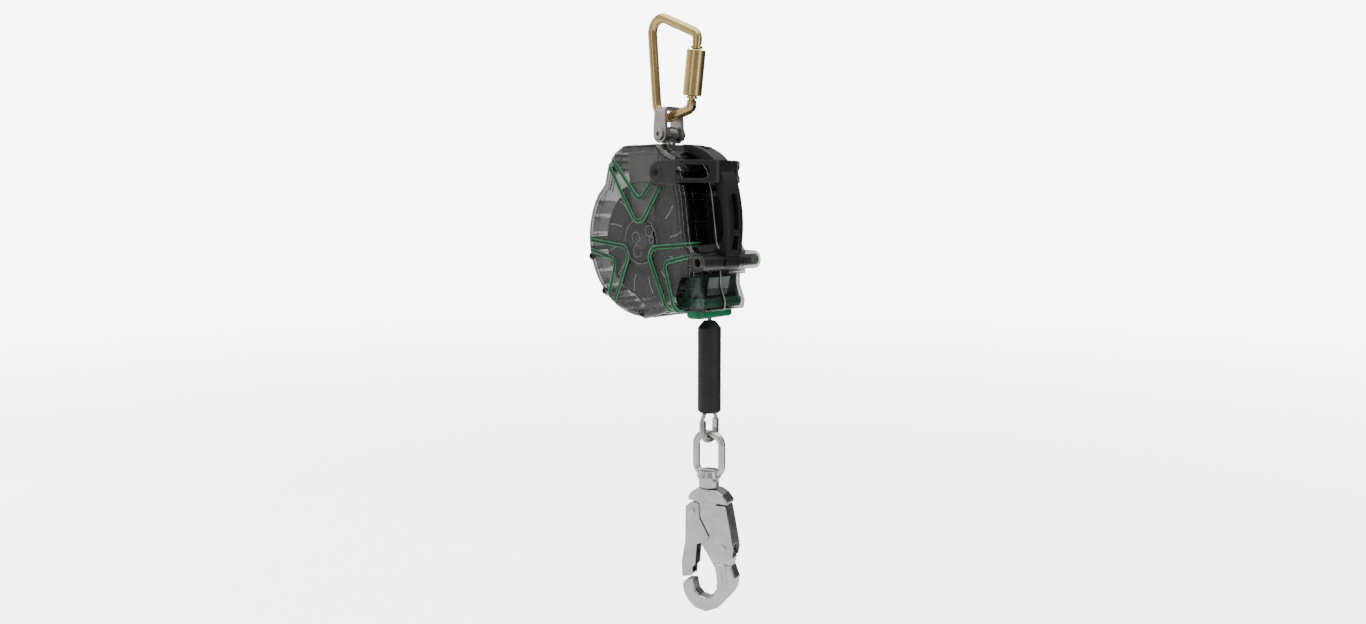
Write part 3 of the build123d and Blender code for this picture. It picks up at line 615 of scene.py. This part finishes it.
def rim_lands():
    """Raised pads round the side wall, with a gusset behind the face at each gap."""
    pads, gussets = bmesh.new(), bmesh.new()
    middle = mm((SHELL_C[0], 0, SHELL_C[1]))
    for side in (-1, 1):
        for degrees in range(150, 291, LAND_STEP):
            a0, a1 = (math.radians(degrees + edge) for edge in PAD_SPAN)
            arc = [a0 + (a1 - a0) * k / 6 for k in range(7)]
            rows = []
            for r in (SHELL_R - 0.4, SHELL_R + 1.1):
                ring = [(SHELL_C[0] + r * math.cos(a), SHELL_C[1] + r * math.sin(a)) for a in arc]
                rows.append([mm((x, side * PAD_Y[0], z)) for x, z in ring]
                            + [mm((x, side * PAD_Y[1], z)) for x, z in reversed(ring)])
            add_block(pads, *rows)
            a = math.radians(degrees - 0.3)
            out = Vector((math.cos(a), 0, math.sin(a)))
            along = Vector((-math.sin(a), 0, math.cos(a)))
            add_block(gussets, *[[middle + out * r * MM + along * t * MM + Vector((0, side * y * MM, 0))
                                  for r, y in GUSSET] for t in (-0.6, 0.6)])
    soften(pads, 0.6 * MM)
    soften(gussets, 0.2 * MM, 1)
    piece("housing_rim_lands", pads, MATERIALS["clear_bead"], "housing", smooth=False)
    piece("housing_gussets", gussets, MATERIALS["clear_shell"], "housing", smooth=False)


def slab_on(bm, a, b, y0, y1, lift, sink=0.3):
    """Pad on a flat stretch of the outline between two of its points, in X and Z, with a sloped edge."""
    ax, bx = Vector((a[0], 0, a[1])), Vector((b[0], 0, b[1]))
    along = (bx - ax).normalized()
    out = Vector((along.z, 0, -along.x))
    low, high = [], []
    for ring, h in ((low, -sink), (high, lift)):
        trim = 0.8 if h > 0 else 0.0
        for p, y, s, w in ((ax, y0, 1, 1), (bx, y0, -1, 1), (bx, y1, -1, -1), (ax, y1, 1, -1)):
            q = p + out * h + along * s * trim
            ring.append(mm((q.x, y + w * trim * (1 if y1 > y0 else -1), q.z)))
    add_block(bm, low, high)


PANELS = (((-12, 106), (-27, 106)), ((23, 106), (10, 106)), ((-32, 105), (-42, 100)),
          ((-46, 96.3), (-54.5, 84.5)), ((34.5, 98.6), (29, 103.8)), ((65.3, 53), (60, 73)),
          ((69.5, 23), (66.6, 46)))     # the flat stretches of the outline that carry a panel


def top_panels():
    """Stepped panels over the crown and shoulders of the housing, each with a dark line round it, painted
    shade for the refraction dark line at its edge.
    """
    bm = bmesh.new()
    for a, b in PANELS:
        for side in (-1, 1):
            slab_on(bm, b, a, side * 37, side * 8, 1.1)
            slab_on(bm, b, a, side * 39.2, side * 38, 0.7)
    soften(bm, 0.35 * MM)
    piece("housing_top_panels", bm, MATERIALS["clear_bead"], "housing", smooth=False)
    # painted shade: black lines round each panel standing for the dark refraction lines at its edges
    lines = bmesh.new()
    for (ax, az), (bx, bz) in PANELS:
        along = Vector((bx - ax, 0, bz - az)).normalized()
        out = Vector((-along.z, 0, along.x))
        for side in (-1, 1):
            corners = [Vector((x, side * y, z)) + out * 1.0 for x, y, z in
                       ((ax, 7.6, az), (bx, 7.6, bz), (bx, 37.4, bz), (ax, 37.4, az))]
            add_tube(lines, closed_smooth([mm(c) for c in corners], 1.5 * MM), 0.35 * MM, 6, closed=True)
    piece("housing_panel_edges", lines, MATERIALS["gasket_rubber"], "housing")


HUB_Y = 44.6            # plane of the hub's rings
HUB_R = 25.0
BOSSES = ((-7.5, 4, 6.0), (-5, -11, 6.6), (13.5, 12, 5.8), (17, 2, 3.6))       # X, Z and radius


def hub_bosses():
    """Ring and round bosses moulded inside the middle of each face, over a smoked hub plate."""
    bm, plates = bmesh.new(), bmesh.new()
    for side in (-1, 1):
        add_ring(bm, (0, 0), HUB_R, side * HUB_Y, 0.45, 48)
        for x, z, r in BOSSES:
            add_ring(bm, (x, z), r, side * HUB_Y, 0.5, 24, sides=6)
        add_block(plates, *[circle((0, 0), HUB_R - 0.4, side * y, 36) for y in (43.2, 43.8)])
    soften(plates, 0.15 * MM, 1)
    piece("housing_hub_bosses", bm, MATERIALS["pale_bead"], "housing")
    piece("housing_hub_plates", plates, MATERIALS["smoked_wall"], "housing", smooth=False)


def arc_edge(radius, start, end, steps=48):
    """Arc about the drum axis, in mm and degrees, as points in X and Z."""
    turns = [math.radians(start + (end - start) * i / steps) for i in range(steps + 1)]
    return [(radius * math.cos(a), radius * math.sin(a)) for a in turns]


DRUM_WALL_R = 65.6
DRUM_WALL_THICK = 0.9
DRUM_WALL_ARC = (-80, 124)      # degrees


def smoked_walls():
    """Smoked wall round the drum, and the smoked inner face of the wall behind the grip."""
    bm = bmesh.new()
    for outer, inner, half in ((inset_line(3.9)[GRIP_WALL], inset_line(4.7)[GRIP_WALL], 41),
                               (arc_edge(DRUM_WALL_R, *DRUM_WALL_ARC),
                                arc_edge(DRUM_WALL_R - DRUM_WALL_THICK, *DRUM_WALL_ARC), 42)):
        add_block(bm, *across(outer + inner[::-1], half))
    bmesh.ops.recalc_face_normals(bm, faces=bm.faces)
    piece("housing_smoked_walls", bm, MATERIALS["smoked_wall"], "housing", smooth=False)


BOSS_AT = (75.5, -65.0)         # axis of the round boss across the foot, X and Z
BOSS_PROFILE = ((-31.6, 5.3), (-31.4, 5.8), (-30.8, 6.1), (0, 6.1), (30.8, 6.1), (31.4, 5.8), (31.6, 5.3))


def outlet_block():
    """Tinted guide block in the foot of the housing, with a scooped front, a grey panel and a round boss."""
    bm = bmesh.new()
    scoop = []
    for z, wing, x, y in ((-36.5, 76.0, 75.0, 18), (-48, 77.0, 73.0, 18), (-59.2, 80.5, 72.0, 16)):
        corners = ((56, -30), (wing, -30), (x, -y), (x, y), (wing, 30), (56, 30))
        scoop.append([mm((*corner, z)) for corner in corners])
    for low, high in zip(scoop[1:], scoop):
        add_block(bm, low, high)
    add_block(bm, *[[mm(c) for c in ((x, -33, z), (66, -33, z), (66, 33, z), (x, 33, z))]
                    for x, z in ((42, -59.2), (46, -71))])
    soften(bm, 0.4 * MM, 1)
    piece("outlet_guide_block", bm, MATERIALS["green_block"], "housing", smooth=False)
    panel = bmesh.new()
    # the panel's lower edge is shifted towards -Y
    low = [mm(c) for c in ((76.0, -15, -37.5), (76.0, 19, -37.5), (75.4, 16, -48), (76.6, 12, -58.8),
                           (76.6, -20, -58.8), (75.4, -18, -48))]
    add_block(panel, low, [p + Vector((1.0 * MM, 0, -0.3 * MM)) for p in low])
    soften(panel, 0.3 * MM)
    piece("outlet_front_panel", panel, MATERIALS["grey_panel"], "housing", smooth=False)
    boss = bmesh.new()
    path = [mm((BOSS_AT[0], y, BOSS_AT[1])) for y, _ in BOSS_PROFILE]
    add_tube(boss, path, lambda i: BOSS_PROFILE[i][1] * MM, 28)
    piece("outlet_cross_boss", boss, MATERIALS["green_boss"], "housing")
    rims = bmesh.new()
    for side in (-1, 1):
        for r in (5.6, 3.2):
            add_ring(rims, BOSS_AT, r, side * 31.9, 0.6, 32)
    piece("outlet_boss_rims", rims, MATERIALS["clear_bead"], "housing")


smoked_walls()
rim_beads()
rim_lands()
top_panels()
hub_bosses()
outlet_block()


# ---------------------------------------------------------------- handle and carabiner heel

def ear_rings():
    """Moulded ring round the screw in each ear of the handle."""
    bm = bmesh.new()
    for side in (-1, 1):
        for r, bar in ((8.2, 0.55), (5.6, 0.45)):
            add_ring(bm, EAR, r, side * 50.4, bar, 36)
    piece("handle_ear_rings", bm, MATERIALS["handle_black"], "housing")


HEEL = (34.6, 148.0)    # the gate's hinge in the carabiner's heel, X and Z


def heel_slot_shade():
    """Dark inlay on the carabiner's heel round the gate's hinge, painted shade for the shadowed mouth of the
    slot there.
    """
    bm = bmesh.new()
    rows = []
    for i in range(13):
        a = math.radians(-88 + 100 * i / 12)
        half = 2.2 * min(1.0, 0.45 + 0.3 * min(i, 12 - i))
        rows.append([bm.verts.new(mm((HEEL[0] + r * math.cos(a), y, HEEL[1] + r * math.sin(a))))
                     for r, y in ((4.9, -half), (6.0, -half), (6.0, half), (4.9, half))])
    join_rows(bm, rows)
    bmesh.ops.recalc_face_normals(bm, faces=bm.faces)
    # painted shade: dark inlay where the slot's mouth would lie in shadow
    piece("carabiner_heel_slot", bm, MATERIALS["black_screw"], "anchor_carabiner",
          smooth=False)


ear_rings()
heel_slot_shade()


# ---------------------------------------------------------------- wire rope

LINE_X = 63.0
ROPE_R = 2.4
ROPE_LAY = 17.0         # length in which a strand goes once round, mm
LOOP_R = 12.0
LOOP_Z = -211.1         # centre of the round end of the eye


def strand_rope(bm, centre, radius, lay):
    """Six strands laid round a core along a path in metres, evenly resampled."""
    dense = [centre[0]]
    for a, b in zip(centre, centre[1:]):
        count = max(1, int((b - a).length / (lay / 12)))
        dense += [a.lerp(b, (i + 1) / count) for i in range(count)]
    along = 0.0
    turn = [0.0]
    for a, b in zip(dense, dense[1:]):
        along += (b - a).length
        turn.append(along / lay * math.tau)
    add_tube(bm, dense, radius * 0.55, 8)
    base = frames(dense)
    for k in range(6):
        shift = k * math.tau / 6
        strand = []
        for point, (_, u, v), t in zip(dense, base, turn):
            strand.append(point + (u * math.cos(t + shift) + v * math.sin(t + shift)) * radius * 0.66)
        add_tube(bm, strand, radius * 0.36, 6)


def lifeline():
    """Wire rope: straight run to the splice, then round the thimble and back to the splice."""
    flat = [(0, 22), (0, -140), (-2.5, -152), (-2.5, -182), (-LOOP_R, -198), (-LOOP_R, LOOP_Z)]
    down = [Vector((0, y, z)) for y, z in flat]
    bend = []
    for i in range(1, 24):
        a = math.pi + math.pi * i / 24
        bend.append(Vector((0, LOOP_R * math.cos(a), LOOP_Z + LOOP_R * math.sin(a))))
    back = [Vector((0, y, z)) for y, z in ((LOOP_R, LOOP_Z), (LOOP_R, -198), (2.5, -182), (2.5, -154))]
    smooth = rounded(down, 10, 5) + bend + rounded(back, 10, 5)
    bm = bmesh.new()
    strand_rope(bm, [mm((LINE_X + p.x, p.y, p.z)) for p in smooth], ROPE_R * MM, ROPE_LAY * MM)
    piece("lifeline_wire_rope", bm, MATERIALS["cable_steel"], "line",
          replaces=("lifeline_cable",))


lifeline()


# ---------------------------------------------------------------- stage, light and camera

FLOOR_GLOW = (3.4, 1.0)         # strength the camera meets directly, and through clear plastic
SKY_GLOW = (8.0, 2.0)           # the same for the backdrop
FLOOR_DROP = 0.22               # room for the line to pay out, m


def floor_paint():
    """Pale paint that glows for the camera, and fades out with distance, so the floor has no visible end."""
    t = Tree("floor_paint")
    tone = t.ramp(t.noise(2.0), [(0.3, (0.88, 0.88, 0.88)), (0.7, (0.90, 0.90, 0.90))])
    paint = t.add("ShaderNodeBsdfDiffuse", Color=tone)
    reach = t.add("ShaderNodeVectorMath")
    reach.operation = "LENGTH"
    t.nt.links.new(t.coord, reach.inputs[0])
    fade = t.remap(reach.outputs["Value"], (1.5, 6.0))
    gone = t.add("ShaderNodeBsdfTransparent")
    sight = t.add("ShaderNodeLightPath")
    direct = t.remap(sight.outputs["Transparent Depth"], (0.0, 2.0), FLOOR_GLOW)
    lift = t.add("ShaderNodeMapRange", Value=sight.outputs["Is Camera Ray"], To_Max=direct)
    glow = t.add("ShaderNodeEmission", Strength=lift.outputs[0])
    both = t.add("ShaderNodeAddShader")
    t.nt.links.new(paint.outputs[0], both.inputs[0])
    t.nt.links.new(glow.outputs[0], both.inputs[1])
    return t.surface(t.blend(fade, both.outputs[0], gone.outputs[0]))


def stage_sheet(name, cells, size, place, paint):
    """Flat square for the floor or a card; size is half its side."""
    bm = bmesh.new()
    bmesh.ops.create_grid(bm, x_segments=cells, y_segments=cells, size=size)
    mesh = bpy.data.meshes.new(name)
    bm.to_mesh(mesh)
    bm.free()
    mesh.materials.append(paint)
    sheet = bpy.data.objects.new(name, mesh)
    sheet.location = place
    bpy.context.collection.objects.link(sheet)
    return sheet


def dark_card():
    """Black card behind and to the right, met only by mirror rays, so faces turned that way read dark."""
    paint = moulded("card_black", (0.05, 0.05, 0.05), 0.9, specular=0.1)
    card = stage_sheet("dark_card", 8, 0.42, (0.36, 0.68, -0.36), paint)
    card.rotation_euler = Vector((-0.47, -0.88, 0.0)).to_track_quat("Z", "Y").to_euler()
    for sight in ("visible_camera", "visible_diffuse", "visible_shadow", "visible_transmission"):
        setattr(card, sight, False)


AIM = Vector((0, 0, -0.3))      # near the middle of the object, m
LIGHTS = (
    # name, place and size in metres, power in watts
    ("overhead", (0, 0, 3.2), (6.0, 6.0), 330),
    ("left_strip", (-1.9, -0.35, 0.2), (0.5, 1.8), 9),
    ("left_panel", (-1.4, -1.5, 0.1), (1.7, 2.0), 7),
    ("front_strip", (0.45, -1.9, 0.1), (0.35, 1.8), 5),
    ("right_strip", (1.9, 0.1, 0.1), (0.5, 1.8), 8),
)


def area_light(name, place, size, power):
    """Soft rectangular light turned towards AIM."""
    data = bpy.data.lights.new(name, "AREA")
    data.shape = "RECTANGLE"
    data.size, data.size_y = size
    data.energy = power
    lamp = bpy.data.objects.new(name, data)
    lamp.location = place
    lamp.rotation_euler = (AIM - Vector(place)).to_track_quat("-Z", "Y").to_euler()
    bpy.context.collection.objects.link(lamp)


def world():
    """White backdrop for the eye, dimmer grey surroundings for the light."""
    scene_world = bpy.data.worlds.new("studio")
    bpy.context.scene.world = scene_world
    scene_world.use_nodes = True
    nt = scene_world.node_tree
    around = nt.nodes["Background"]
    around.inputs[0].default_value = (0.34, 0.34, 0.34, 1)
    seen = nt.nodes.new("ShaderNodeBackground")
    seen.inputs[0].default_value = (1, 1, 1, 1)
    sight = nt.nodes.new("ShaderNodeLightPath")
    direct = nt.nodes.new("ShaderNodeMapRange")
    for key, value in (("From Min", 1.0), ("From Max", 2.0),
                       ("To Min", SKY_GLOW[0]), ("To Max", SKY_GLOW[1])):
        direct.inputs[key].default_value = value
    mix = nt.nodes.new("ShaderNodeMixShader")
    for out, socket in ((sight.outputs["Transparent Depth"], direct.inputs["Value"]),
                        (direct.outputs[0], seen.inputs[1]), (sight.outputs["Is Camera Ray"], mix.inputs[0]),
                        (around.outputs[0], mix.inputs[1]), (seen.outputs[0], mix.inputs[2]),
                        (mix.outputs[0], nt.nodes["World Output"].inputs[0])):
        nt.links.new(out, socket)


CAM_AZIMUTH = math.radians(44.0)
CAM_RISE = math.radians(6.7)
CAM_DISTANCE = 1.150
CAM_TARGET = Vector((11.48, 11.09, -82.67 + DRUM_Z)) * MM
SENSOR = 36.0
FOCAL_SHARE = 1000 / 1366      # focal length over image width


def camera():
    """Camera at the photograph's angle."""
    data = bpy.data.cameras.new("camera")
    data.sensor_width = SENSOR
    data.lens = SENSOR * FOCAL_SHARE
    away = Vector((math.sin(CAM_AZIMUTH) * math.cos(CAM_RISE), -math.cos(CAM_AZIMUTH) * math.cos(CAM_RISE),
                   math.sin(CAM_RISE)))
    cam = bpy.data.objects.new("camera", data)
    cam.location = CAM_TARGET + away * CAM_DISTANCE
    cam.rotation_euler = (-away).to_track_quat("-Z", "Y").to_euler()
    bpy.context.collection.objects.link(cam)
    bpy.context.scene.camera = cam


stage_sheet("floor", 1, 7.0, (0, 0, cad_box[0][2] - FLOOR_DROP), floor_paint())
dark_card()
world()
for light in LIGHTS:
    area_light(*light)
camera()
